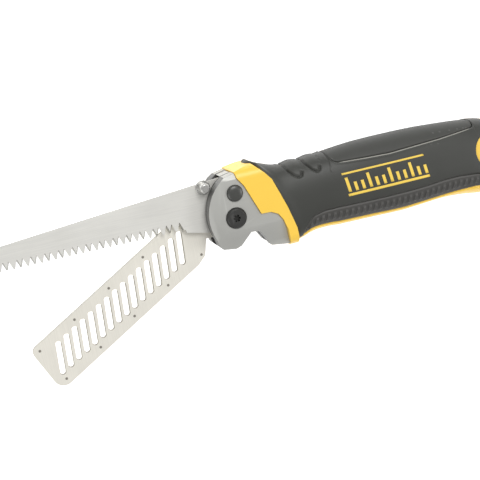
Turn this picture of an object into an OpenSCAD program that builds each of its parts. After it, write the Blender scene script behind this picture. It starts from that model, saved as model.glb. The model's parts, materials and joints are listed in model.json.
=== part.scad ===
// Folding drywall saw: a jab saw and a slotted rasp that swing on one pivot
// and fold into a hollow two-shell handle. X runs from the blade tips to the
// butt, Y from the belly to the spine, Z across the tool; it lies on its side.

/* [Saw blade] */
// Length from the pivot to the saw's point
saw_len = 135; // [125:1:136]
// Thickness of the saw plate
saw_t = 1.5; // [1.2:0.1:1.6]
// Distance from one tooth to the next
tooth_pitch = 3.63; // [3.2:0.01:4.4]
// Depth of the gullets
tooth_depth = 4.6; // [3.6:0.1:4.8]
// Angle at which the gullets are ground through the plate
tooth_bevel = 28; // [0:1:32]

/* [Rasp] */
// Length from the pivot to the rasp's end
rasp_len = 129; // [120:1:130]
// Thickness of the carrier plate
rasp_t = 1.6; // [1.4:0.1:1.7]
// Thickness of the abrasive sheet
sheet_t = 0.5; // [0.3:0.1:0.7]
// Number of slanted slots
slot_count = 16; // [8:1:17]
// Width of one slot
slot_w = 3.3; // [2:0.1:3.6]
// How far the rasp stands from fully open
rasp_rest = 29.2; // [28:0.1:32]

/* [Head] */
// Half the thickness of the head
head_half = 13; // [12:0.1:13.4]
// Half the width of the blade slot
slot_half = 4.3; // [4.3:0.1:4.4]
// Thickness of a steel liner plate
liner_t = 1.4; // [1:0.1:1.6]
// Travel of the lock button
lock_travel = 1.75; // [1.7:0.05:1.8]

/* [Handle] */
// Thickness of the rubber skin
skin = 2; // [1.6:0.1:2.4]
// Roundness of the handle's section, 2 being an ellipse
roundness = 2.7; // [2.2:0.1:3.4]
// Radius of the hanging hole
hang_r = 4.5; // [3:0.1:4.8]

/* [Hidden] */
$fn = 48;

// Place of the pivot axis and the mid-plane, which puts the origin under the tool's middle
pivot_at = [-15.5, 21.5, 15.8];
eps = 0.05;                       // running gap between parts that slide on each other
cut = 40;                         // reach of a cutter past the body that it cuts

// Where the plates lie across the tool
saw_z = 1;
rasp_z = -0.9 - rasp_t;
liner_out = slot_half + liner_t;
pivot_r = 3;
hub_r = 11.2;
lock_at = [1.7, 13.2];
neck_r = 1.5;
collar_r = 4;
button_r = 4.3;
screw_head_r = 5.5;
screw_r = 1.9;
stop_at = [2.5, 19.5];
stop_r = 1.8;
saw_stud_at = [-12.6, 18.4];
rasp_stud_at = [-12.2, 17.9];
stud_r = 2.7;
stud_flange_r = 4;
stud_len = 6.8;
rasp_fold = 181.2;

// Side lines of the saw: the spine falls towards the point and the teeth rise a little
spine_y = 21.7;
spine_slope = 0.0734;
tooth_y = -2.4;
tooth_slope = 0.0175;
first_tooth = 26;

// Rasp plate, open: x runs towards the tip as minus u
rasp_top = 18.4;
rasp_bottom = -9.5;
slot_first = 31.8;
slot_pitch = 5.75;
slot_angle = 57.6;
slot_len = 18.7;
rivet_first = 25.8;
rivet_pitch = 24.4;
rivet_rows = [15, -6.1];
rivet_r = 0.7;

// Handle stations
butt_from = 156.6;
cavity_end = 139;
cavity_top = 13;
hang_at = [151, 3.5];
window_r = 9.5;
eyelet_top = 13.4;
shell_screw_x = [40, 82, 118];
shell_screw_y = 14.9;
dowels_at = [[12, 16.2], [20, -12]];

// Outline tables of the handle along X: spine, belly, half thickness, and the edges of its panels
top_line = [[0, 23.6], [8, 25], [16, 26], [22, 23.4], [28, 21.4], [40, 21.1], [52, 21.7], [65, 23],
  [76, 23.8], [90, 24], [104, 23.9], [116, 23.5], [125, 22.9], [137, 22], [145, 21.2], [150, 20.6],
  [155, 19.4], [160, 16.6], [164, 11.5], [166, 6.5]];
belly_line = [[16, -19.6], [24, -20.9], [29, -22.2], [33, -22.5], [37, -21.5], [41, -20], [45, -19.2],
  [53, -19.1], [57, -19.6], [77, -20.1], [89, -20.5], [97, -20.7], [109, -20], [121, -19.3], [129, -19.6],
  [137, -20.5], [145, -21.8], [150, -21.6], [155, -20], [160, -16], [164, -9.5], [166, -3]];
half_line = [[16, 14], [30, 14.2], [60, 15.2], [90, 15.8], [120, 15.8], [140, 15.4], [152, 14.4],
  [160, 12.4], [164, 9], [166, 5.5]];
pad_line = [[53, 30], [56.6, 22], [57.8, 18.7], [60, 16.9], [64, 16.5], [76.6, 15.8], [91, 15.2],
  [106, 15.8], [122, 16.4], [138.7, 17.5], [144, 17.8], [145.3, 19], [146, 30]];
strip_line = [[30, -25], [36, -19], [37, -16.4], [38.8, -13.2], [42.8, -9.5], [48.8, -8], [57, -7.9],
  [72, -8.4], [87, -8.6], [102, -8.5], [111, -8.2], [120, -7.4], [130, -7.3], [142, -8.5], [150, -11],
  [156, -15],
  [158, -25]];

function top_y(x) = lookup(x, top_line);
function belly_y(x) = lookup(x, belly_line);
function half_z(x) = lookup(x, half_line);

// Angle round the section, from the spine, at which a section shrunk by inset reaches height y
function section_angle(x, y, inset) =
  let (c = (top_y(x) + belly_y(x)) / 2,
       h = (top_y(x) - belly_y(x)) / 2 - inset,
       t = max(-1, min(1, (y - c) / h)))
  acos(sign(t) * pow(abs(t), roundness / 2));

// Point [y, z] of the section at angle a
function section_point(x, a, inset) =
  let (c = (top_y(x) + belly_y(x)) / 2,
       h = (top_y(x) - belly_y(x)) / 2 - inset,
       w = half_z(x) - inset,
       n = 2 / roundness)
  [c + h * sign(cos(a)) * pow(abs(cos(a)), n), w * pow(abs(sin(a)), n)];

// Angle at which the section's lower side comes in to half width z
function rim_angle(x, z, inset) = 180 - asin(pow(min(0.95, z / (half_z(x) - inset)), roundness / 2));

// Half width of the bare rim between the two skins, and the roof of the shells' hollow
function rim_z(x) = lookup(x, [[30, 8], [40, 10], [120, 10], [140, 12]]);
function roof_y(x) = min(18.5, top_y(x) - skin - 1.2);

function section_arc(x, a0, a1, inset, steps) =
  [for (i = [0:steps]) section_point(x, a0 + (a1 - a0) * i / steps, inset)];

function reversed(list) = [for (i = [len(list) - 1:-1:0]) list[i]];

// Closed solid through equal-length [y, z] outlines that stand at the given x stations
module loft(stations, outlines) {
  n = len(outlines[0]);
  m = len(stations);
  points = [for (i = [0:m - 1]) for (p = outlines[i]) [stations[i], p[0], p[1]]];
  sides = [for (i = [0:m - 2]) for (j = [0:n - 1])
    let (a = i * n + j, b = i * n + (j + 1) % n)
    each [[a, a + n, b], [b, a + n, b + n]]];
  caps = [[for (j = [0:n - 1]) j], [for (j = [n - 1:-1:0]) (m - 1) * n + j]];
  polyhedron(points, concat(sides, caps), convexity = 8);
}

module at_pivot() {
  translate(pivot_at) children();
}

// A plate of thickness t whose lower face stands at z
module plate(z, t) {
  translate([0, 0, z]) linear_extrude(t) children();
}

module disc(at, r, z, t) {
  translate([at[0], at[1], z]) cylinder(r = r, h = t);
}

// ---- Head -------------------------------------------------------------------

// Front edge of the head as an arc round a centre behind the pivot
rim_r = 26.6;
rim_at = [12.2, 0.5];

module head_outline(lobe_shift) {
  rim = [for (a = [132:8:204]) rim_at + rim_r * [cos(a), sin(a)]];
  polygon(concat(
    [[29, 22], [3, 23.6], [-2.6, 22.4]], rim,
    [[-11.3, -13.7], [-9.5, -15.7], [-2.5, -16.9], [0.6, -15.8], [6.8, -9.5], [11, -9.8],
     [12.3 + lobe_shift, -11.1], [17.2 + lobe_shift, -19.6], [29, -21.4]]));
}

// Front and rear edges of the yellow collar seen from the side, spine first
collar_front = [[2.8, 27], [4.1, 20.7], [7.2, 16.1], [10.5, 7.6], [13.8, -0.8], [19.2, -1.1], [23, -3.1],
  [25.2, -6.6], [26.8, -12.3], [27.8, -24]];
collar_rear = [[13.5, 27], [15.5, 24.6], [19.5, 20.5], [22.8, 16.2], [26, 7.4], [28.9, -0.9], [31, -8.8],
  [32, -13], [32.6, -24]];

module collar_outline() {
  intersection() {
    polygon(concat(collar_front, reversed(collar_rear)));
    polygon([[0, -30], [0, 23.4], [13, 26.3], [40, 26.3], [40, -30]]);
  }
}

// Everything behind one of the collar's edges, grown forwards by d
module behind(edge, d) {
  translate([-d, 0]) polygon(concat([[80, 27]], edge, [[80, -24]]));
}

// The head's rounded section, swept along X
module head_section(half, top, bottom, r) {
  translate([-cut, 0, 0]) rotate([90, 0, 90])
    linear_extrude(2 * cut + 20)
      hull() for (z = [-half + r, half - r]) {
        translate([top - r, z]) circle(r);
        translate([bottom + r, z]) circle(r);
      }
}

module cheek(lobe_shift) {
  difference() {
    intersection() {
      plate(liner_out, head_half - liner_out) difference() {
        head_outline(lobe_shift);
        behind(collar_front, 0.03);
      }
      union() {
        plate(0, head_half - 2.2) translate([-60, -60]) square(120);
        hull() {
          plate(head_half - 2.3, 0.1) translate([-16, -17]) square([50, 42]);
          plate(head_half - 0.1, 0.1)
            polygon([[-4.6, 20.4], [-6.2, 11.3], [-9.2, -1.5], [-9.4, -7.2], [30, -7.2], [30, 20.4]]);
        }
      }
    }
    disc([0, 0], pivot_r + eps, 0, cut);
    disc([0, 0], screw_head_r + 0.15, head_half - 0.6, cut);
    disc(lock_at, button_r + 0.1, 0, cut);
    for (d = dowels_at) disc(d, 1.2, 0, liner_out + 3);
  }
}

module head_cheek_near() {
  color("darkgray") at_pivot() cheek(0);
}

module head_cheek_far() {
  color("darkgray") at_pivot() mirror([0, 0, 1]) cheek(0.8);
}

module liner_outline(lobe_shift) {
  intersection() {
    head_outline(lobe_shift);
    union() {
      translate([-60, -60]) square([62.5, 120]);
      translate([-60, -60]) square([83.9, 81.1]);
    }
  }
  polygon(concat([[18, 21], [23, 19.4]], [for (x = grip_x) if (x < 135) [x, roof_y(x) - 0.1]],
    [[137, 11], [137, -10], [128, -12.4], [110, -11], [40, -12], [30, -15.5], [23.8, -17]]));
}

module liner(lobe_shift) {
  difference() {
    plate(slot_half, liner_t - 0.02) liner_outline(lobe_shift);
    disc([0, 0], pivot_r + eps, 0, cut);
    disc(lock_at, collar_r + 0.2, 0, cut);
    disc(stop_at, 1.2, 0, cut);
    for (d = dowels_at) disc(d, 1.2, 0, cut);
    for (x = shell_screw_x) disc([x, shell_screw_y], 1.7, 0, cut);
  }
}

module liner_near() {
  color("dimgray") at_pivot() liner(0);
}

module liner_far() {
  color("dimgray") at_pivot() mirror([0, 0, 1]) liner(0.8);
}

module back_spacer() {
  color("darkslategray") at_pivot() difference() {
    plate(-slot_half + 0.02, 2 * slot_half - 0.04)
      polygon(concat([[134, cavity_top], [29.4, cavity_top]],
        [for (x = grip_x) if (x < 135) [x, roof_y(x) - 0.1]]));
    for (x = shell_screw_x) disc([x, shell_screw_y], 1.7, -cut / 2, cut);
  }
}

// Block that closes the head's spine over the slot, clear of both swinging blades
module head_bridge() {
  color("darkgray") at_pivot() plate(-slot_half + 0.02, 2 * slot_half - 0.04) difference() {
    polygon([[-2.4, 22.3], [2.6, 22.3], [4.9, 21.2], [4.9, 13.3], [23.5, 13.3], [23.5, 19], [18.5, 21.1],
      [6.8, 21.1], [6.8, 22.9], [3.4, 22.9], [3, 23.4], [-1.6, 22.5]]);
    translate(lock_at) circle(collar_r + 0.5);
  }
}

module stop_pin() {
  color("silver") at_pivot() {
    disc(stop_at, stop_r, -slot_half + 0.02, 2 * slot_half - 0.04);
    disc(stop_at, 1.15, -liner_out + 0.1, 2 * liner_out - 0.2);
  }
}

module head_dowels() {
  color("silver") at_pivot() for (side = [0, 1]) mirror([0, 0, side])
    for (d = dowels_at) disc(d, 1.15, slot_half + 0.1, liner_t + 2.7);
}

// ---- Pivot ------------------------------------------------------------------

module torx_recess(r, depth) {
  for (a = [0:60:300]) rotate(a) {
    translate([r * 0.42, -r * 0.3, 0]) cube([r * 0.58, r * 0.6, depth]);
  }
  cylinder(r = r * 0.72, h = depth);
}

module pivot_screw() {
  color("black") at_pivot() difference() {
    union() {
      disc([0, 0], screw_head_r, head_half - 0.6, 1.3);
      translate([0, 0, head_half + 0.7]) cylinder(r1 = screw_head_r, r2 = screw_head_r - 0.9, h = 0.7);
      disc([0, 0], screw_r - 0.05, -6, head_half + 5.6);
    }
    translate([0, 0, head_half - 0.4]) torx_recess(1.95, 3);
  }
}

module pivot_barrel() {
  color("black") at_pivot() difference() {
    union() {
      disc([0, 0], pivot_r, -head_half + 0.1, 2 * head_half - 0.8);
      disc([0, 0], screw_head_r, -head_half - 1, 1.6);
    }
    disc([0, 0], screw_r, -head_half + 3, cut);
  }
}

module washer(z, t, r) {
  color("goldenrod") at_pivot() difference() {
    disc([0, 0], r, z, t);
    disc([0, 0], pivot_r + eps, z - 1, t + 2);
  }
}

module washer_near() {
  washer(saw_z + saw_t + eps, slot_half - saw_z - saw_t - 2 * eps, 7.5);
}

module washer_mid() {
  washer(rasp_z + rasp_t + eps, saw_z - rasp_z - rasp_t - 2 * eps, 7.5);
}

module washer_far() {
  washer(-slot_half + eps, rasp_z + slot_half - 2 * eps, 7.5);
}

// ---- Lock -------------------------------------------------------------------

spring_z0 = -12;
spring_z1 = -6.4;
seat_r = 4.3;

module lock_button() {
  color("black") at_pivot() difference() {
    union() {
      disc(lock_at, button_r, 6.2, head_half - 5.2);
      translate([lock_at[0], lock_at[1], head_half + 1])
        cylinder(r1 = button_r, r2 = button_r - 0.8, h = 0.5);
      translate([lock_at[0], lock_at[1], head_half + 1.5]) cylinder(r1 = button_r - 0.8, r2 = 1.6, h = 0.45);
    }
    disc(lock_at, 1.2, 6, 5);
  }
}

// Neck with one locking collar for each blade, drawn pressed in
module lock_pin() {
  color("silver") at_pivot() {
    disc(lock_at, neck_r, spring_z1 + 1, 6.2 - spring_z1 - 1);
    disc(lock_at, 1.15, 6, 4.8);
    disc(lock_at, collar_r, saw_z + 0.05 - lock_travel, 1.4);
    disc(lock_at, collar_r, rasp_z + 0.1 - lock_travel, 1.4);
    disc(lock_at, 3.4, spring_z1, 1);
    disc(lock_at, 1.3, spring_z1 - 2.6, 2.7);
  }
}

// Helical compression spring as one swept tube
module lock_spring() {
  turns = 4;
  steps = 20;
  wire = 0.35;
  coil = 2.4;
  sides = 8;
  n = turns * steps;
  rise = spring_z1 - spring_z0 - 2 * wire - 0.1;
  points = [for (i = [0:n]) for (j = [0:sides - 1])
    let (a = 360 * i / steps, b = 360 * j / sides, r = coil + wire * cos(b))
    [lock_at[0] + r * cos(a), lock_at[1] + r * sin(a),
     spring_z0 + wire + 0.05 + rise * i / n + wire * sin(b)]];
  faces = [for (i = [0:n - 1]) for (j = [0:sides - 1])
    let (a = i * sides + j, b = i * sides + (j + 1) % sides)
    each [[a, b, a + sides], [b, b + sides, a + sides]]];
  caps = [[for (j = [sides - 1:-1:0]) j], [for (j = [0:sides - 1]) n * sides + j]];
  color("silver") at_pivot() polyhedron(points, concat(faces, caps), convexity = 8);
}

// Plug in the far cheek that the spring stands on
module lock_seat() {
  color("black") at_pivot() difference() {
    union() {
      disc(lock_at, seat_r, -head_half - 0.5, head_half - 5.9);
      translate([lock_at[0], lock_at[1], -head_half - 0.9])
        cylinder(r1 = seat_r - 0.8, r2 = seat_r, h = 0.4);
    }
    disc(lock_at, 3.5, spring_z0, cut);
  }
}

// ---- Handle -----------------------------------------------------------------

grip_x = [29.4, 33, 35, 36, 37, 37.9, 38.8, 40, 41.4, 43, 48, 54, 56.6, 57.2, 57.8, 58.8, 60, 67, 76, 90,
  100, 110, 120, 128, 134, 138, 139, 144, 145.3, 145.6, 147.5, 151, 154, 156.5, 156.7, 159, 162, 164.5, 166];
arc_steps = 14;
lip_steps = 4;
bond = 0.6;                      // thickness of the glue line between a skin and its shell

module collar() {
  difference() {
    intersection() {
      plate(-20, 40) collar_outline();
      head_section(14, 26, -22.3, 6.5);
    }
    plate(-liner_out - 0.02, 2 * liner_out + 0.04) translate([-20, -60]) {
      square([60, 81.2]);
      square([27, 83]);
    }
    for (d = dowels_at) disc(d, 1.3, -liner_out - 3, 2 * liner_out + 6);
  }
}

module front_collar() {
  color("gold") at_pivot() collar();
}

// Room that the collar takes up, for cutting the parts that start behind it
module collar_room() {
  translate([0, 0, -cut]) linear_extrude(2 * cut) polygon(concat([[10, 30]], collar_rear, [[10, -30]]));
}

// Shell section: under the skins down to the lip, then out to the bare rim beside the slot. The hollow
// ends in a solid butt, whose flat inner side runs from belly to spine and which no skin covers
function shell_outline(x, steps) =
  let (solid = x >= cavity_end,
       under = x > butt_from ? bond : skin,
       lip = rim_z(x) - 1,
       end = solid ? 180 : rim_angle(x, liner_out + 0.05, bond),
       low = belly_y(x) + skin,
       high = top_y(x) - skin)
  concat(section_arc(x, 0, rim_angle(x, lip, under), under, steps),
    section_arc(x, rim_angle(x, lip, bond) + 0.5, end, bond, lip_steps),
    solid ? [[low + (high - low) * 0.3, 0], [low + (high - low) * 0.7, 0]]
          : [[roof_y(x), liner_out + 0.05], [roof_y(x), 0]]);

module shell_half() {
  difference() {
    loft(grip_x, [for (x = grip_x) shell_outline(x, arc_steps)]);
    collar_room();
    disc(hang_at, 7, -1, cut);
    disc(hang_at, window_r - 0.1, eyelet_top - 2.25, cut);
  }
}

module handle_shell_near() {
  color("gold") at_pivot() difference() {
    shell_half();
    for (x = shell_screw_x) disc([x, shell_screw_y], 1.7, -1, 8.3);
  }
}

module handle_shell_far() {
  color("gold") at_pivot() mirror([0, 0, 1]) difference() {
    shell_half();
    for (x = shell_screw_x) {
      disc([x, shell_screw_y], 1.7, -1, 8);
      disc([x, shell_screw_y], 2.5, 6.15, 1.6);
    }
  }
}

// Skin between two heights on the section, from its outside to the shell
function skin_outline(x, y_high, y_low) =
  let (a0 = section_angle(x, y_high, 0),
       b0 = section_angle(x, y_high, skin),
       a1 = min(section_angle(x, y_low, 0), rim_angle(x, rim_z(x), 0)),
       b1 = min(section_angle(x, y_low, skin), rim_angle(x, rim_z(x), skin)))
  concat(section_arc(x, a0, a1, 0, arc_steps), reversed(section_arc(x, b0, b1, skin - bond, arc_steps)));

// Rubber flange between a grip and the collar, whose slanted rear edge it follows
module grip_flange() {
  intersection() {
    plate(liner_out + 0.1, 12) intersection() {
      behind(collar_rear, -0.1);
      translate([-20, -17]) square([49.35, 60]);
    }
    head_section(14.1, 24.4, -19.7, 7);
  }
}

module grip_half() {
  xs = [for (x = grip_x) if (x < butt_from) x];
  difference() {
    loft(xs, [for (x = xs)
      skin_outline(x, min(top_y(x), lookup(x, pad_line)), max(belly_y(x), lookup(x, strip_line)))]);
    collar_room();
    disc(hang_at, window_r, -1, cut);
  }
}

module grip_flange_near() {
  color("darkslategray") at_pivot() grip_flange();
}

module grip_flange_far() {
  color("darkslategray") at_pivot() mirror([0, 0, 1]) grip_flange();
}

module grip_near() {
  color("darkslategray") at_pivot() grip_half();
}

module grip_far() {
  color("darkslategray") at_pivot() mirror([0, 0, 1]) grip_half();
}

module strip_half() {
  xs = [for (x = grip_x) if (x >= 38.8 && x <= 151) x];
  loft(xs, [for (x = xs) skin_outline(x, lookup(x, strip_line) - 0.3, belly_y(x))]);
}

module rib_strip_near() {
  color("dimgray") at_pivot() strip_half();
}

module rib_strip_far() {
  color("dimgray") at_pivot() mirror([0, 0, 1]) strip_half();
}

module top_pad() {
  xs = [for (x = grip_x) if (x >= 60 && x <= 144) x];
  color("slategray") at_pivot()
    loft(xs, [for (x = xs)
      let (a = section_angle(x, lookup(x, pad_line) + 0.3, 0),
           b = section_angle(x, lookup(x, pad_line) + 0.3, skin),
           outer = section_arc(x, 0, a, 0, arc_steps),
           inner = section_arc(x, 0, b, skin - bond, arc_steps))
      concat([for (p = reversed(outer)) [p[0], -p[1]]], [for (i = [1:arc_steps]) outer[i]],
             reversed(inner), [for (i = [1:arc_steps]) [inner[i][0], -inner[i][1]]])]);
}

module shell_screws() {
  color("silver") at_pivot() for (x = shell_screw_x) {
    disc([x, shell_screw_y], 1.6, -7.5, 14.7);
    disc([x, shell_screw_y], 2.4, -7.6, 1.4);
  }
}

// Flanged bush that lines the hanging hole
module hang_eyelet() {
  color("gold") at_pivot() difference() {
    union() {
      disc(hang_at, 6.95, 2.2 - eyelet_top, 2 * eyelet_top - 4.4);
      for (side = [0, 1]) mirror([0, 0, side]) disc(hang_at, window_r - 0.2, eyelet_top - 2.2, 2.2);
    }
    disc(hang_at, hang_r, -cut / 2, cut);
  }
}

// ---- Saw --------------------------------------------------------------------

module saw_outline() {
  tip = [-saw_len, tooth_y + tooth_slope * saw_len];
  shoulder = -saw_len + 12;
  difference() {
    union() {
      circle(hub_r);
      polygon([[0.6, spine_y], [shoulder, spine_y + spine_slope * shoulder], tip,
        [-first_tooth, tooth_y + tooth_slope * first_tooth], [-first_tooth + 0.4, -3.6], [-14.9, -6.2],
        [-6, -8.4], [0, 0]]);
    }
    circle(pivot_r + eps);
    for (side = [1, -1]) translate(side * lock_at) circle(collar_r + eps);
  }
}

// V cutters between the teeth, tilted one way and then the other as a grinding wheel is
module gullets() {
  half = tooth_pitch / 2;
  count = floor((saw_len - first_tooth - 3) / tooth_pitch);
  for (i = [0:count - 1]) {
    x = -first_tooth - 3 - i * tooth_pitch;
    y = tooth_y - tooth_slope * x;
    tilt = i % 2 == 0 ? tooth_bevel : -tooth_bevel;
    translate([x, y, saw_z + saw_t / 2]) rotate([0, tilt, 0]) translate([0, 0, -6])
      linear_extrude(12) polygon([[-half, -1], [half, -1], [half * 0.86, 0.1], [0.12, tooth_depth],
        [-0.12, tooth_depth], [-half * 0.86, 0.1]]);
  }
}

module saw_blade() {
  color("lightgray") at_pivot() difference() {
    plate(saw_z, saw_t) saw_outline();
    gullets();
    disc(saw_stud_at, 1.5, saw_z - 1, saw_t + 2);
  }
}

module stud(at, z_blade, t_blade) {
  disc(at, 1.5, z_blade - 0.3, t_blade + 0.4);
  disc(at, stud_flange_r, z_blade + t_blade, 1.2);
  disc(at, stud_r, z_blade + t_blade + 1.2, stud_len - 1.8);
  translate([at[0], at[1], z_blade + t_blade + stud_len - 0.6])
    cylinder(r1 = stud_r, r2 = stud_r - 0.6, h = 0.6);
}

module saw_thumb_stud() {
  color("silver") at_pivot() stud(saw_stud_at, saw_z, saw_t);
}

// ---- Rasp -------------------------------------------------------------------

module rasp_swing() {
  at_pivot() rotate(rasp_rest) children();
}

module rasp_plate_outline() {
  hull() {
    translate([-rasp_len + 5.6, rasp_top - 4]) circle(4);
    translate([-rasp_len + 6, rasp_bottom + 6]) circle(6);
    translate([-31, rasp_bottom + 3]) circle(3);
    polygon([[-18, -1.2], [-24.6, -8], [-12, rasp_top], [-10, 10]]);
  }
}

module rasp_outline() {
  difference() {
    union() {
      circle(hub_r);
      rasp_plate_outline();
      polygon([[0.6, rasp_top], [-30, rasp_top], [-30, -1.2], [-18, -1.2], [-8, -7.5], [0, 0]]);
    }
    circle(pivot_r + eps);
    for (a = [0, rasp_rest, rasp_fold]) rotate(-a) translate(lock_at) circle(collar_r + eps);
  }
}

module rasp_slots(w) {
  for (i = [0:slot_count - 1])
    translate([-slot_first - i * slot_pitch, (rasp_top + rasp_bottom) / 2]) rotate(slot_angle) {
      square([slot_len - w, w], center = true);
      for (s = [-1, 1]) translate([s * (slot_len - w) / 2, 0]) circle(w / 2);
    }
}

module rivet_places() {
  for (i = [0:4]) for (v = rivet_rows)
    if (i > 0 || v < 0) translate([-rivet_first - i * rivet_pitch, v]) children();
}

module rasp_carrier() {
  color("lightgray") rasp_swing() plate(rasp_z, rasp_t) difference() {
    rasp_outline();
    rasp_slots(slot_w);
    rivet_places() circle(rivet_r + 0.02);
    translate(rasp_stud_at) circle(1.5);
  }
}

module rasp_sheet() {
  color("silver") rasp_swing() plate(rasp_z - sheet_t, sheet_t - 0.01) difference() {
    intersection() {
      rasp_plate_outline();
      translate([-rasp_len - 1, rasp_bottom + 0.6]) square([rasp_len - 22, rasp_top - rasp_bottom - 1.2]);
    }
    rasp_slots(slot_w - 0.5);
    rivet_places() circle(rivet_r + 0.02);
  }
}

module rasp_rivets() {
  color("gray") rasp_swing() plate(rasp_z - sheet_t - 0.1, rasp_t + sheet_t + 0.15)
    rivet_places() circle(rivet_r);
}

module rasp_thumb_stud() {
  color("silver") rasp_swing() translate([0, 0, 2 * rasp_z + rasp_t]) mirror([0, 0, 1])
    stud(rasp_stud_at, rasp_z, rasp_t);
}

head_cheek_near();
head_cheek_far();
liner_near();
liner_far();
back_spacer();
stop_pin();
head_dowels();
head_bridge();
pivot_barrel();
pivot_screw();
washer_near();
washer_mid();
washer_far();
lock_button();
lock_pin();
lock_spring();
lock_seat();
front_collar();
handle_shell_near();
handle_shell_far();
grip_flange_near();
grip_flange_far();
grip_near();
grip_far();
top_pad();
rib_strip_near();
rib_strip_far();
shell_screws();
hang_eyelet();
saw_blade();
saw_thumb_stud();
rasp_carrier();
rasp_sheet();
rasp_rivets();
rasp_thumb_stud();
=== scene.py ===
"""Looks of the folding drywall saw.

Metres, in the row frame. The tables and sizes of the handle are millimetres from the pivot."""

import json
import math

import bmesh
import bpy
import numpy as np
from mathutils import Matrix, Vector


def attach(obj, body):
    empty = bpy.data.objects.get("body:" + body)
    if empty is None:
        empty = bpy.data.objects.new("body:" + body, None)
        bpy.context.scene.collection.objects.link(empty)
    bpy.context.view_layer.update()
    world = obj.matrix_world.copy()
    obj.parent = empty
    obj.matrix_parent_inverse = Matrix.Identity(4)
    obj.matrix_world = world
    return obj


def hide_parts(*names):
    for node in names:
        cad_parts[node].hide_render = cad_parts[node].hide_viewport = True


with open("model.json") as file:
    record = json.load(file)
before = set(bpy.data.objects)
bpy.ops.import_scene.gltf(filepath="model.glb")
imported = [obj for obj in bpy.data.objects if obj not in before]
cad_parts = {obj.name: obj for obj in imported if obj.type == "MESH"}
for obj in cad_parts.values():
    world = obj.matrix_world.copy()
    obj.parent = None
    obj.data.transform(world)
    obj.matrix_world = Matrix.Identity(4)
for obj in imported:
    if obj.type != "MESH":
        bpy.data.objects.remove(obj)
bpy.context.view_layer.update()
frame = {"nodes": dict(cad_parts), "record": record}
NODES = frame["nodes"]
PIVOT = Vector(next(j for j in frame["record"]["behaviour"]["joints"] if j["name"] == "saw_pivot")["pos_m"])
MM = 0.001

# ---- Section of the handle, as in the CAD ---------------------------------------------

TOP = [(0, 23.6), (8, 25), (16, 26), (22, 23.4), (28, 21.4), (40, 21.1), (52, 21.7), (65, 23), (76, 23.8),
       (90, 24), (104, 23.9), (116, 23.5), (125, 22.9), (137, 22), (145, 21.2), (150, 20.6), (155, 19.4),
       (160, 16.6), (164, 11.5), (166, 6.5)]
BELLY = [(16, -19.6), (24, -20.9), (29, -22.2), (33, -22.5), (37, -21.5), (41, -20), (45, -19.2), (53, -19.1),
         (57, -19.6), (77, -20.1), (89, -20.5), (97, -20.7), (109, -20), (121, -19.3), (129, -19.6),
         (137, -20.5), (145, -21.8), (150, -21.6), (155, -20), (160, -16), (164, -9.5), (166, -3)]
HALF = [(16, 14), (30, 14.2), (60, 15.2), (90, 15.8), (120, 15.8), (140, 15.4), (152, 14.4), (160, 12.4),
        (164, 9), (166, 5.5)]
PAD = [(53, 30), (56.6, 22), (57.8, 18.7), (60, 16.9), (64, 16.5), (76.6, 15.8), (91, 15.2), (106, 15.8),
       (122, 16.4), (138.7, 17.5), (144, 17.8), (145.3, 19), (146, 30)]
STRIP = [(30, -25), (36, -19), (37, -16.4), (38.8, -13.2), (42.8, -9.5), (48.8, -8), (57, -7.9), (72, -8.4),
         (87, -8.6), (102, -8.5), (111, -8.2), (120, -7.4), (130, -7.3), (142, -8.5), (150, -11), (156, -15),
         (158, -25)]
RIM = [(30, 8), (40, 10), (120, 10), (140, 12)]
COLLAR_REAR = [(10, 27), (12.4, 25.4), (16, 23.9), (20.3, 20.2), (23.3, 16.2), (26.3, 7.4), (29, -0.9),
               (31, -8.8), (32, -13), (32.6, -24)]
HANG = (151, 3.5)              # hanging hole
WINDOW = 9.4                   # radius of the skins' window round the hole
RUBBER_END = 156.5             # where the rubber stops and the bare butt begins
BUTT_END = 165.9
LIP_AT = 15.0                  # section whose heights place the rubber's front edge
STRIP_FROM, STRIP_TO = 37.0, 154.5
PAD_FROM, PAD_TO = 57.2, 145.4
SKIN = 2.1                     # depth of the shells below the skins' outside
BEAD_R = 0.34
RIB_PITCH = 3.45
ROUND = 2.7
FINE = np.linspace(-20, 170, 1901)


def smooth_table(table, width):
    """The table on a fine grid, softened over width millimetres."""
    xs, ys = zip(*table)
    y = np.interp(FINE, xs, ys)
    k = np.exp(-0.5 * (np.arange(-60, 61) * 0.1 / width) ** 2)
    pad = np.pad(y, 60, mode="edge")
    return np.convolve(pad, k / k.sum(), mode="valid")


TOP_F, BELLY_F, HALF_F = smooth_table(TOP, 1.6), smooth_table(BELLY, 1.6), smooth_table(HALF, 1.6)
PAD_F, STRIP_F = smooth_table(PAD, 0.9), smooth_table(STRIP, 0.9)


def at(table, x):
    return np.interp(x, FINE, table)


def section(x, a, inset=0.0):
    """Point (x, y, z) of the handle's section at angle a from the spine."""
    c = (at(TOP_F, x) + at(BELLY_F, x)) / 2
    h = (at(TOP_F, x) - at(BELLY_F, x)) / 2 - inset
    w = at(HALF_F, x) - inset
    n = 2 / ROUND
    return np.stack([x + 0 * a, c + h * np.sign(np.cos(a)) * np.abs(np.cos(a)) ** n,
                     w * np.abs(np.sin(a)) ** n], -1)


def angle_at(x, y):
    """Angle from the spine at which the section at x reaches height y."""
    c = (at(TOP_F, x) + at(BELLY_F, x)) / 2
    h = (at(TOP_F, x) - at(BELLY_F, x)) / 2
    t = np.clip((y - c) / h, -1, 1)
    return np.arccos(np.sign(t) * np.abs(t) ** (ROUND / 2))


def rim_angle(x, z):
    """Angle at which the section's lower side comes in to half width z."""
    return math.pi - np.arcsin(np.clip(z / at(HALF_F, x), 0, 0.95) ** (ROUND / 2))


def rim_z(x):
    return np.interp(x, *zip(*RIM))


def line_x(line, y):
    """X of a collar edge at height y."""
    xs, ys = zip(*line)
    return np.interp(-y, [-v for v in ys], xs)


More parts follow.
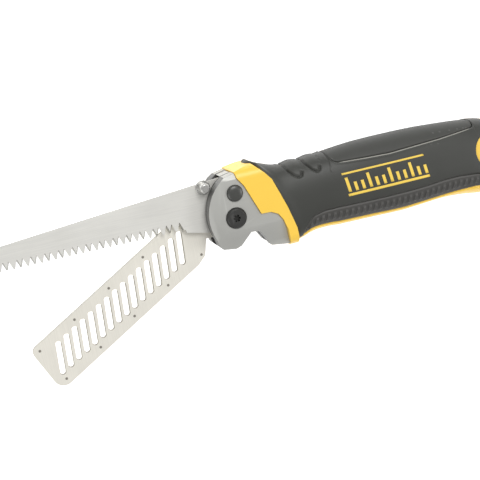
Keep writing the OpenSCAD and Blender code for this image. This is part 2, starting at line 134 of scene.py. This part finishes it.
# ---- Materials ------------------------------------------------------------------------


def material(name, colour, rough, metal=0.0, grain=(900, 900, 900), depth=0.02, spread=0.12, coat=0.0,
             rough_spread=0.1, wear_and_highlight=None):
    """Colour, roughness and relief that vary with procedural noise over the surface."""
    m = bpy.data.materials.new(name)
    m.use_nodes = True
    t = m.node_tree
    b = t.nodes["Principled BSDF"]
    b.inputs["Metallic"].default_value = metal
    b.inputs["Coat Weight"].default_value = coat
    b.inputs["Coat Roughness"].default_value = 0.25
    coords = t.nodes.new("ShaderNodeTexCoord")
    scale = t.nodes.new("ShaderNodeMapping")
    scale.inputs["Scale"].default_value = grain
    fine = t.nodes.new("ShaderNodeTexNoise")
    fine.inputs["Scale"].default_value = 1.0
    fine.inputs["Detail"].default_value = 4.0
    broad = t.nodes.new("ShaderNodeTexNoise")
    broad.inputs["Scale"].default_value = 38.0
    broad.inputs["Detail"].default_value = 3.0
    t.links.new(coords.outputs["Object"], scale.inputs["Vector"])
    t.links.new(scale.outputs["Vector"], fine.inputs["Vector"])
    t.links.new(coords.outputs["Object"], broad.inputs["Vector"])
    both = t.nodes.new("ShaderNodeMath")
    both.operation = "ADD"
    t.links.new(fine.outputs["Fac"], both.inputs[0])
    t.links.new(broad.outputs["Fac"], both.inputs[1])
    half = t.nodes.new("ShaderNodeMath")
    half.operation = "MULTIPLY"
    half.inputs[1].default_value = 0.5
    t.links.new(both.outputs[0], half.inputs[0])
    ramp = t.nodes.new("ShaderNodeValToRGB")
    ramp.color_ramp.elements[0].position = 0.3
    ramp.color_ramp.elements[1].position = 0.7
    ramp.color_ramp.elements[0].color = (*[c * (1 - spread) for c in colour], 1)
    ramp.color_ramp.elements[1].color = (*[min(1, c * (1 + spread)) for c in colour], 1)
    t.links.new(half.outputs[0], ramp.inputs["Fac"])
    if wear_and_highlight:
        # lighter along edges, as wear and as painted highlight, and darker in hollows as painted shade, from
        # the mesh's own curvature
        geo = t.nodes.new("ShaderNodeNewGeometry")
        edge = t.nodes.new("ShaderNodeValToRGB")
        edge.color_ramp.elements[0].position = 0.42
        edge.color_ramp.elements[1].position = 0.6
        edge.color_ramp.elements[0].color = (*[c * 0.55 for c in colour], 1)
        edge.color_ramp.elements[1].color = (*wear_and_highlight, 1)
        mid = edge.color_ramp.elements.new(0.5)
        mid.color = (*colour, 1)
        mix = t.nodes.new("ShaderNodeMix")
        mix.data_type = "RGBA"
        mix.inputs[0].default_value = 0.35
        t.links.new(geo.outputs["Pointiness"], edge.inputs["Fac"])
        t.links.new(ramp.outputs["Color"], mix.inputs[6])
        t.links.new(edge.outputs["Color"], mix.inputs[7])
        t.links.new(mix.outputs[2], b.inputs["Base Color"])
    else:
        t.links.new(ramp.outputs["Color"], b.inputs["Base Color"])
    gloss = t.nodes.new("ShaderNodeMapRange")
    gloss.inputs["To Min"].default_value = max(0.05, rough - rough_spread)
    gloss.inputs["To Max"].default_value = min(1, rough + rough_spread)
    t.links.new(half.outputs[0], gloss.inputs["Value"])
    t.links.new(gloss.outputs["Result"], b.inputs["Roughness"])
    bump = t.nodes.new("ShaderNodeBump")
    bump.inputs["Strength"].default_value = 0.35
    bump.inputs["Distance"].default_value = depth * MM
    t.links.new(fine.outputs["Fac"], bump.inputs["Height"])
    t.links.new(bump.outputs["Normal"], b.inputs["Normal"])
    return m


# Materials given an edge colour get lighter edges, as wear and painted highlight, and darker hollows, as
# painted shade.
SAW = material("saw_steel", (0.80, 0.79, 0.745), 0.34, 0.4, (60, 2600, 2600), 0.02, 0.07)
RASP = material("rasp_steel", (0.88, 0.85, 0.765), 0.34, 0.35, (2200, 80, 2200), 0.02, 0.06)
CAST = material("die_casting", (0.44, 0.44, 0.415), 0.46, 0.45, (2400, 2400, 2400), 0.03, 0.05,
                wear_and_highlight=(0.6, 0.6, 0.57))
# painted shade for the head's front wall
CAST_WALL_SHADE = material("casting_wall_shade", (0.16, 0.16, 0.155), 0.5, 0.4, (2400, 2400, 2400), 0.03, 0.08)
YELLOW = material("yellow_moulding", (0.93, 0.60, 0.075), 0.36, 0.0, (1500, 1500, 1500), 0.015, 0.03, 0.15)
RUBBER = material("black_rubber", (0.038, 0.039, 0.034), 0.5, 0.0, (3200, 3200, 3200), 0.05, 0.14,
                  wear_and_highlight=(0.09, 0.09, 0.08))
PAD_RUBBER = material("pad_rubber", (0.043, 0.044, 0.039), 0.62, 0.0, (2600, 2600, 2600), 0.07, 0.14,
                      wear_and_highlight=(0.14, 0.14, 0.13))
# the ribs' pale edge colour paints highlights on their crests, as well as wear
RIB_RUBBER = material("rib_rubber", (0.056, 0.054, 0.050), 0.55, 0.0, (2600, 2600, 2600), 0.05, 0.14,
                      wear_and_highlight=(0.24, 0.23, 0.22))
# pale colour: painted highlight along the pad's edge
BEAD = material("bead_painted_highlight", (0.30, 0.295, 0.265), 0.45, 0.0, (2600, 2600, 2600), 0.03, 0.1)
BLACK = material("black_oxide", (0.035, 0.035, 0.033), 0.42, 0.35, (2600, 2600, 2600), 0.03, 0.2,
                 wear_and_highlight=(0.14, 0.14, 0.135))
BUTTON = material("black_button", (0.045, 0.046, 0.042), 0.3, 0.0, (1800, 1800, 1800), 0.01, 0.15, 0.3,
                  wear_and_highlight=(0.12, 0.12, 0.11))
STEEL = material("turned_steel", (0.58, 0.575, 0.55), 0.28, 0.85, (1400, 1400, 4200), 0.03, 0.1)
LINER = material("liner_steel", (0.09, 0.09, 0.088), 0.45, 0.6, (80, 2400, 2400), 0.02, 0.2)
BRONZE = material("bronze", (0.52, 0.33, 0.13), 0.35, 0.8, (1800, 1800, 1800), 0.02, 0.15)
PLASTIC = material("black_plastic", (0.04, 0.04, 0.038), 0.5, 0.0, (1800, 1800, 1800), 0.03, 0.2)
# painted dark reflection for the walls of the blades
CUT_WALL_SHADE = material("cut_wall_shade", (0.24, 0.22, 0.18), 0.4, 0.55, (2400, 2400, 2400), 0.02, 0.15)
SAW_WALL_SHADE = material("saw_wall_shade", (0.34, 0.335, 0.31), 0.38, 0.55, (2400, 2400, 2400), 0.02, 0.12)
RIVET = material("rivet_steel", (0.30, 0.28, 0.24), 0.35, 0.6, (2400, 2400, 2400), 0.02, 0.12)
PRINT = material("yellow_print", (0.86, 0.60, 0.09), 0.45, 0.0, (2600, 2600, 2600), 0.02, 0.1)


# ---- Mesh helpers ---------------------------------------------------------------------


def place(name, verts, faces, mat, body, stands_for=(), smooth=True):
    """A mesh from points in millimetres round the pivot."""
    mesh = bpy.data.meshes.new(name)
    mesh.from_pydata([tuple(PIVOT + Vector(v) * MM) for v in verts], [], faces)
    mesh.update()
    bm = bmesh.new()
    bm.from_mesh(mesh)
    bmesh.ops.remove_doubles(bm, verts=bm.verts, dist=1e-7)
    bmesh.ops.recalc_face_normals(bm, faces=bm.faces)
    if bm.calc_volume(signed=True) < 0:
        bmesh.ops.reverse_faces(bm, faces=bm.faces)
    bm.to_mesh(mesh)
    bm.free()
    if smooth:
        mesh.shade_smooth()
    mesh.materials.append(mat)
    obj = bpy.data.objects.new(name, mesh)
    bpy.context.scene.collection.objects.link(obj)
    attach(obj, body)
    if stands_for:
        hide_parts(*stands_for)
    return obj


def shell(outer, inner):
    """Closed skin between two equal grids of points: faces on both, and a wall round the edge."""
    n, m = outer.shape[:2]
    verts = np.concatenate([outer.reshape(-1, 3), inner.reshape(-1, 3)])
    k = n * m
    faces = []
    for i in range(n - 1):
        for j in range(m - 1):
            a, b, c, d = i * m + j, i * m + j + 1, (i + 1) * m + j + 1, (i + 1) * m + j
            faces += [(a, b, c, d), (k + d, k + c, k + b, k + a)]
    ring = ([(i, 0) for i in range(n)] + [(n - 1, j) for j in range(1, m)]
            + [(i, m - 1) for i in range(n - 2, -1, -1)] + [(0, j) for j in range(m - 2, 0, -1)])
    ring = [i * m + j for i, j in ring]
    for p, q in zip(ring, ring[1:] + ring[:1]):
        faces.append((p, q, k + q, k + p))
    return verts, faces


def windowed(outer, inner, centre, radius):
    """As shell(), with a round window cut through both grids and a wall round it."""
    n, m = outer.shape[:2]
    grids = []
    for grid in (outer.copy(), inner.copy()):
        d = np.maximum(np.hypot(grid[..., 0] - centre[0], grid[..., 1] - centre[1]), 1e-6)
        if not grids:
            keep = (d[:-1, :-1] + d[1:, :-1] + d[:-1, 1:] + d[1:, 1:]) / 4 >= radius
        push = np.where(d < radius, radius / d, 1.0)
        grid[..., 0] = centre[0] + (grid[..., 0] - centre[0]) * push
        grid[..., 1] = centre[1] + (grid[..., 1] - centre[1]) * push
        grids.append(grid.reshape(-1, 3))
    k = n * m
    quads = [(i * m + j, i * m + j + 1, (i + 1) * m + j + 1, (i + 1) * m + j)
             for i in range(n - 1) for j in range(m - 1) if keep[i, j]]
    edges = {(q[e], q[(e + 1) % 4]) for q in quads for e in range(4)}
    faces = list(quads)
    faces += [tuple(k + v for v in reversed(q)) for q in quads]
    faces += [(q, p, k + p, k + q) for p, q in edges if (q, p) not in edges]
    used = sorted({v for f in faces for v in f})
    new = {v: i for i, v in enumerate(used)}
    verts = np.concatenate(grids)[used]
    return verts, [tuple(new[v] for v in f) for f in faces]


def mirrored(verts):
    return verts * np.array([1, 1, -1])


def bevelled(node, mat, body, width, segments=3, angle=28):
    """A copy of a CAD node with its flats merged and its edges rounded."""
    src = NODES[node]
    mesh = src.data.copy()
    mesh.name = node + "_mesh"
    bm = bmesh.new()
    bm.from_mesh(mesh)
    bmesh.ops.remove_doubles(bm, verts=bm.verts, dist=2e-6)
    bmesh.ops.dissolve_limit(bm, angle_limit=math.radians(0.6), verts=bm.verts, edges=bm.edges)
    bm.to_mesh(mesh)
    bm.free()
    mesh.materials.clear()
    mesh.materials.append(mat)
    for poly in mesh.polygons:
        poly.material_index = 0
    obj = bpy.data.objects.new(node + "_look", mesh)
    bpy.context.scene.collection.objects.link(obj)
    obj.matrix_world = src.matrix_world
    bev = obj.modifiers.new("edges", "BEVEL")
    bev.width, bev.segments, bev.limit_method = width * MM, segments, "ANGLE"
    bev.angle_limit = math.radians(angle)
    bev.harden_normals = True
    mesh.shade_smooth()
    wn = obj.modifiers.new("normals", "WEIGHTED_NORMAL")
    wn.keep_sharp = True
    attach(obj, body)
    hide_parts(node)
    return obj


# ---- Handle ---------------------------------------------------------------------------


def path_distance(x, y, path):
    """Distance of each point to a polyline in the side view."""
    best = np.full(x.shape, 1e9)
    for (x0, y0), (x1, y1) in zip(path, path[1:]):
        dx, dy = x1 - x0, y1 - y0
        t = np.clip(((x - x0) * dx + (y - y0) * dy) / (dx * dx + dy * dy), 0, 1)
        best = np.minimum(best, np.hypot(x - x0 - t * dx, y - y0 - t * dy))
    return best


TONGUES = [
    [(32.2, 21.7), (33.2, 18.4), (35.8, 15.2), (38.0, 13.6), (39.8, 13.9), (40.8, 15.8)],
    [(43.0, 22.0), (44.2, 18.9), (46.6, 15.9), (48.6, 14.4), (50.2, 14.8), (51.2, 16.6)],
]


def grip(side):
    """Rubber skin of one side, from the collar to the butt, with its lip, tongues and hollows."""
    nx, na = 420, 64
    u = np.linspace(0, 1, nx)[:, None]
    v = np.linspace(0, 1, na)[None, :]
    start_a = v * rim_angle(np.array(LIP_AT), 7.0)
    start_y = section(np.full_like(start_a, LIP_AT), start_a)[..., 1]
    x0 = line_x(COLLAR_REAR, start_y) + 0.15
    x = x0 + (RUBBER_END - x0) * u
    a0 = np.where(at(PAD_F, x) < at(TOP_F, x), angle_at(x, at(PAD_F, x)), 0.0)
    a_strip = angle_at(x, np.maximum(at(STRIP_F, x), at(BELLY_F, x)))
    a1 = np.minimum(a_strip, rim_angle(x, rim_z(x)))
    a = a0 + (a1 - a0) * v
    flat = section(x, a)
    h = (at(TOP_F, x) - at(BELLY_F, x)) / 2
    inset = np.zeros_like(x)
    # rolled edges beside the pad, the ribbed strip and the belly rim, and at the collar
    top_edge = np.clip(1 - (a - a0) * h / 1.0, 0, 1) * (a0 > 0.02)
    low_edge = np.clip(1 - (a1 - a) * h / 1.1, 0, 1)
    front_edge = np.clip(1 - (x - x0) / 0.8, 0, 1)
    for e, d in ((top_edge, 1.1), (low_edge, 1.4), (front_edge, 0.7)):
        inset += d * (1 - np.sqrt(np.clip(1 - e**2, 0, 1)))
    # bead just outside the pad's edge
    inset -= 0.22 * np.exp(-(((a - a0) * h - 1.7) / 0.5) ** 2) * (a0 > 0.02)
    # lip that stands up behind the collar, strongest over the spine
    near_front = np.exp(-(((x - x0) - 1.6) / 2.2) ** 2)
    spine = np.clip((flat[..., 1] - 14) / 10, 0, 1)
    inset -= near_front * (0.25 + 1.5 * spine**2)
    # two thumb tongues
    for path in TONGUES:
        d = path_distance(flat[..., 0], flat[..., 1], path)
        inset += 1.15 * np.exp(-((d / 0.55) ** 2))
        inside = (flat[..., 0] > path[0][0]) & (flat[..., 0] < path[-1][0] + 1)
        crown = np.exp(-(((flat[..., 0] - (path[2][0] + 2.6)) / 3.0) ** 2))
        crown = crown * np.clip((flat[..., 1] - 15) / 5, 0, 1)
        inset -= 0.55 * crown * inside
    # hollow between lip and tongues
    inset += 0.5 * np.exp(-(((flat[..., 0] - 31) / 4.5) ** 2)) * np.clip((flat[..., 1] - 8) / 14, 0, 1)
    outer = section(x, a, inset)
    inner = section(x, a, 1.8 + 0 * x)
    verts, faces = windowed(outer, inner, HANG, WINDOW)
    if side < 0:
        verts = mirrored(verts)
    name = "grip_skin_near" if side > 0 else "grip_skin_far"
    nodes = ("grip_near", "grip_flange_near") if side > 0 else ("grip_far", "grip_flange_far")
    return place(name, verts, faces, RUBBER, "handle", nodes)


grip(1)
grip(-1)


def strip(side):
    """Ribbed band of one side, between the grip and the bare rim."""
    nx, na = 900, 26
    u = np.linspace(0, 1, nx)[:, None]
    v = np.linspace(0, 1, na)[None, :]
    x = STRIP_FROM + (STRIP_TO - STRIP_FROM) * u + 0 * v
    a0 = angle_at(x, np.maximum(at(STRIP_F, x), at(BELLY_F, x)) - 0.2)
    a1 = rim_angle(x, rim_z(x))
    a0 = np.minimum(a0, a1 - 0.03)
    a = a0 + (a1 - a0) * v
    h = (at(TOP_F, x) - at(BELLY_F, x)) / 2
    width = (a1 - a0) * h
    inset = 0.45 + 0 * a
    for e in (np.clip(1 - (a - a0) * h / 0.8, 0, 1), np.clip(1 - (a1 - a) * h / 0.8, 0, 1)):
        inset = inset + 0.9 * (1 - np.sqrt(np.clip(1 - e**2, 0, 1)))
    # short upright ribs, leaning with the strip
    phase = (x + 2.4 * v) / RIB_PITCH
    crest = np.clip(np.cos(2 * math.pi * phase) * 1.6 + 0.15, 0, 1)
    band = np.clip((v - 0.16) / 0.08, 0, 1) * np.clip((0.66 - v) / 0.08, 0, 1)
    keep = np.clip((width - 4) / 2, 0, 1)
    inset = inset - 0.75 * crest * band * keep
    outer = section(x, a, inset)
    inner = section(x, a, 1.9 + 0 * x)
    verts, faces = shell(outer, inner)
    if side < 0:
        verts = mirrored(verts)
    tail = "near" if side > 0 else "far"
    return place("rib_band_" + tail, verts, faces, RIB_RUBBER, "handle", ("rib_strip_" + tail,))


strip(1)
strip(-1)


def pad():
    """Rubber pad over the spine, from one side's edge line to the other's."""
    nx, na = 240, 81
    u = np.linspace(0, 1, nx)[:, None]
    v = np.linspace(-1, 1, na)[None, :]
    x = PAD_FROM + (PAD_TO - PAD_FROM) * u + 0 * v
    edge = angle_at(x, np.minimum(at(PAD_F, x), at(TOP_F, x) - 0.3) + 0.15)
    a = np.abs(v) * edge
    h = (at(TOP_F, x) - at(BELLY_F, x)) / 2
    rim = np.clip(1 - (edge - a) * h / 1.2, 0, 1)
    ends = np.maximum(np.clip(1 - (x - PAD_FROM) / 1.2, 0, 1), np.clip(1 - (PAD_TO - x) / 1.2, 0, 1))
    inset = 0.3 + 0.9 * (1 - np.sqrt(np.clip(1 - np.maximum(rim, ends) ** 2, 0, 1)))
    outer = section(x, a, inset)
    inner = section(x, a, 1.9 + 0 * x)
    sign = np.where(v < 0, -1, 1)
    outer[..., 2] *= sign
    inner[..., 2] *= sign
    verts, faces = shell(outer, inner)
    return place("spine_pad", verts, faces, PAD_RUBBER, "handle", ("top_pad",))


pad()


def bead(side):
    """Thin tube that edges the pad, pale as a painted highlight of the pad's rolled edge."""
    xs = np.linspace(60.4, 143.6, 160)
    a = angle_at(xs, at(PAD_F, xs) - 0.55)
    centre = section(xs, a, 0.12 + 0 * xs)
    normal = section(xs, a, 0 * xs) - section(xs, a, 1 + 0 * xs)
    normal /= np.linalg.norm(normal, axis=1)[:, None]
    tangent = np.gradient(centre, axis=0)
    tangent /= np.linalg.norm(tangent, axis=1)[:, None]
    across = np.cross(tangent, normal)
    m = 10
    taper = np.clip(np.minimum(np.arange(160), np.arange(160)[::-1]) / 8, 0.15, 1)[:, None]
    verts, faces = [], []
    for k in range(m):
        t = 2 * math.pi * k / m
        verts.append(centre + (across * math.cos(t) + normal * math.sin(t)) * BEAD_R * taper)
    verts = np.stack(verts, 1).reshape(-1, 3)
    for i in range(159):
        for k in range(m):
            faces.append((i * m + k, i * m + (k + 1) % m, (i + 1) * m + (k + 1) % m, (i + 1) * m + k))
    faces += [tuple(range(m)), tuple(159 * m + k for k in range(m))]
    if side < 0:
        verts = mirrored(verts)
    tail = "near" if side > 0 else "far"
    return place("pad_bead_" + tail, verts, faces, BEAD, "handle", ())


bead(1)
bead(-1)


def shell_look(side):
    """Yellow shell: hidden under the skins, it shows as a rim along the belly and as the butt's cap."""
    nx, na = 420, 120
    u = np.linspace(0, 1, nx)[:, None]
    v = np.linspace(0, 1, na)[None, :]
    start_y = section(np.full_like(v, 29.0), v * rim_angle(np.array(29.0), 6.0))[..., 1]
    x0 = line_x(COLLAR_REAR, start_y) + 0.3
    x = x0 + (BUTT_END - x0) * u
    solid = np.clip((x - 137) / 2, 0, 1)
    end = rim_angle(x, 5.9)
    end = end + (math.pi - end) * solid
    a = v * end
    h = (at(TOP_F, x) - at(BELLY_F, x)) / 2
    bare = np.maximum(np.clip((a - rim_angle(x, rim_z(x) - 0.25)) * h / 0.25 + 0.5, 0, 1),
                      np.clip((x - 156.7) / 0.25, 0, 1))
    dome = np.clip((x - 162.2) / 3.7, 0, 1)
    inset = SKIN - 1.95 * bare + 4.4 * (1 - np.sqrt(1 - dome**2))
    edge = np.clip(1 - (end - a) * h / 0.5, 0, 1) * (1 - solid)
    inset = inset + 0.4 * (1 - np.sqrt(np.clip(1 - edge**2, 0, 1)))
    inset = np.minimum(inset, np.minimum(h, at(HALF_F, x)) - 0.1)
    deep = np.minimum(inset + 1.6, np.minimum(h, at(HALF_F, x)) - 0.05)
    verts, faces = windowed(section(x, a, inset), section(x, a, deep), HANG, WINDOW - 0.05)
    if side < 0:
        verts = mirrored(verts)
    tail = "near" if side > 0 else "far"
    return place("shell_" + tail, verts, faces, YELLOW, "handle", ("handle_shell_" + tail,))


shell_look(1)
shell_look(-1)


def print_patch(x0, x1, y0, y1, lean):
    """A printed rectangle that follows the grip's side."""
    n, m = 24, 6
    u = np.linspace(0, 1, n)[:, None]
    v = np.linspace(0, 1, m)[None, :]
    y = y0 + (y1 - y0) * v + 0 * u
    x = x0 + (x1 - x0) * u - lean * (y - 2.6)
    a = angle_at(x, y)
    outer = section(x, a, -0.07 + 0 * x)
    inner = section(x, a, 0.25 + 0 * x)
    return shell(outer, inner)


def mark():
    """Plain printed scale in place of any lettering: a base line with short and long ticks."""
    verts, faces, base = [], [], 0
    bits = [(62.6, 111.0, -2.9, -1.5), (62.6, 111.0, 9.3, 10.3)]
    for i in range(12):
        x = 63.4 + i * 4.15
        bits.append((x, x + 1.7, -0.6, 7.6 if i % 3 == 0 else 4.4))
    for x0, x1, y0, y1 in bits:
        v, f = print_patch(x0, x1, y0, y1, 0.16)
        verts.append(v)
        faces += [tuple(i + base for i in q) for q in f]
        base += len(v)
    return place("printed_scale", np.concatenate(verts), faces, PRINT, "handle", ())


mark()

# ---- Metalwork: CAD shapes with rounded edges -----------------------------------------

for n in ("head_cheek_near", "head_cheek_far"):
    cheek = bevelled(n, CAST, "handle", 0.7, 4)
    # the head's front wall is painted darker, as painted shade
    cheek.data.materials.append(CAST_WALL_SHADE)
    for poly in cheek.data.polygons:
        if poly.normal.x < -0.3 and abs(poly.normal.z) < 0.3:
            poly.material_index = 1
bevelled("front_collar", YELLOW, "handle", 0.5, 3)
bevelled("pivot_screw", BLACK, "handle", 0.18, 2, 35)
bevelled("pivot_barrel", BLACK, "handle", 0.3, 3, 35)
bevelled("lock_button", BUTTON, "lock", 0.35, 4, 20)
bevelled("lock_seat", BUTTON, "handle", 0.3, 3)
bevelled("saw_thumb_stud", STEEL, "saw", 0.25, 3, 35)
bevelled("rasp_thumb_stud", STEEL, "rasp", 0.25, 3, 35)
bevelled("hang_eyelet", YELLOW, "handle", 0.8, 4, 35)

CARRIED = {
    "saw_blade": SAW,
    "rasp_carrier": RASP,
    "rasp_sheet": RASP,
    "rasp_rivets": RIVET,
    "liner_near": LINER,
    "liner_far": LINER,
    "back_spacer": PLASTIC,
    "stop_pin": STEEL,
    "head_dowels": STEEL,
    "washer_near": BRONZE,
    "washer_mid": BRONZE,
    "washer_far": BRONZE,
    "lock_pin": STEEL,
    "lock_spring": STEEL,
    "shell_screws": STEEL,
    "head_bridge": CAST,
}
for n, mat in CARRIED.items():
    o = NODES[n]
    if not o.material_slots:
        o.data.materials.append(mat)
    for s in o.material_slots:
        s.material = mat

# Punched and ground walls of the blades are painted darker than their faces, as painted dark reflection
for n, edge in (("saw_blade", SAW_WALL_SHADE), ("rasp_carrier", CUT_WALL_SHADE), ("rasp_sheet", CUT_WALL_SHADE)):
    data = NODES[n].data
    data.materials.append(edge)
    for poly in data.polygons:
        poly.material_index = 1 if abs(poly.normal.z) < 0.7 else 0

# ---- Floor, light and camera ----------------------------------------------------------


def floor_material():
    m = bpy.data.materials.new("studio_floor")
    m.use_nodes = True
    t = m.node_tree
    b = t.nodes["Principled BSDF"]
    b.inputs["Base Color"].default_value = (0.92, 0.92, 0.92, 1)
    b.inputs["Roughness"].default_value = 0.9
    b.inputs["Specular IOR Level"].default_value = 0.0
    b.inputs["Emission Color"].default_value = (1, 1, 1, 1)
    b.inputs["Emission Strength"].default_value = 0.72
    return m


mesh = bpy.data.meshes.new("floor")
mesh.from_pydata([(-6, -6, 0), (6, -6, 0), (6, 6, 0), (-6, 6, 0)], [], [(0, 1, 2, 3)])
mesh.materials.append(floor_material())
floor = bpy.data.objects.new("floor", mesh)
floor.location.z = -0.0003
bpy.context.scene.collection.objects.link(floor)

world = bpy.data.worlds.new("studio")
world.use_nodes = True
world.node_tree.nodes["Background"].inputs["Color"].default_value = (1, 1, 1, 1)
world.node_tree.nodes["Background"].inputs["Strength"].default_value = 0.42
bpy.context.scene.world = world


def lamp(name, place_at, target, size, power):
    data = bpy.data.lights.new(name, "AREA")
    data.shape, data.size, data.energy = "DISK", size, power
    obj = bpy.data.objects.new(name, data)
    obj.location = place_at
    obj.rotation_mode = "QUATERNION"
    obj.rotation_quaternion = (Vector(target) - Vector(place_at)).to_track_quat("-Z", "Y")
    bpy.context.scene.collection.objects.link(obj)


lamp("key", (0.15, 0.75, 1.1), (0.02, 0, 0), 0.7, 9)
lamp("fill", (-0.9, -0.5, 0.9), (0, 0, 0), 0.9, 4.2)
lamp("rim", (0.9, -0.1, 0.8), (0, 0, 0), 0.6, 3)

# Direction from the object to the camera, and the handle's slope in the picture
BACK = Vector((-0.236, 0.224, 0.945)).normalized()
SLOPE = math.radians(14.2)
LENS, SENSOR, DISTANCE = 85.0, 36.0, 0.60
along = Vector((1, 0, 0)) - BACK * BACK.x
along.normalize()
upright = BACK.cross(along)
right = math.cos(SLOPE) * along - math.sin(SLOPE) * upright
up = math.sin(SLOPE) * along + math.cos(SLOPE) * upright
screw = PIVOT + Vector((0, 0, 13.0)) * MM
aim = screw + right * 1.85 * MM - up * 11.6 * MM
cam_data = bpy.data.cameras.new("camera")
cam_data.lens, cam_data.sensor_width, cam_data.sensor_fit = LENS, SENSOR, "HORIZONTAL"
cam_data.clip_start, cam_data.clip_end = 0.01, 20
cam = bpy.data.objects.new("camera", cam_data)
bpy.context.scene.collection.objects.link(cam)
cam.rotation_mode = "QUATERNION"
cam.location = aim + BACK * DISTANCE
cam.rotation_quaternion = Matrix((right, up, BACK)).transposed().to_quaternion()
bpy.context.scene.camera = cam
bpy.context.scene.view_settings.view_transform = "Standard"
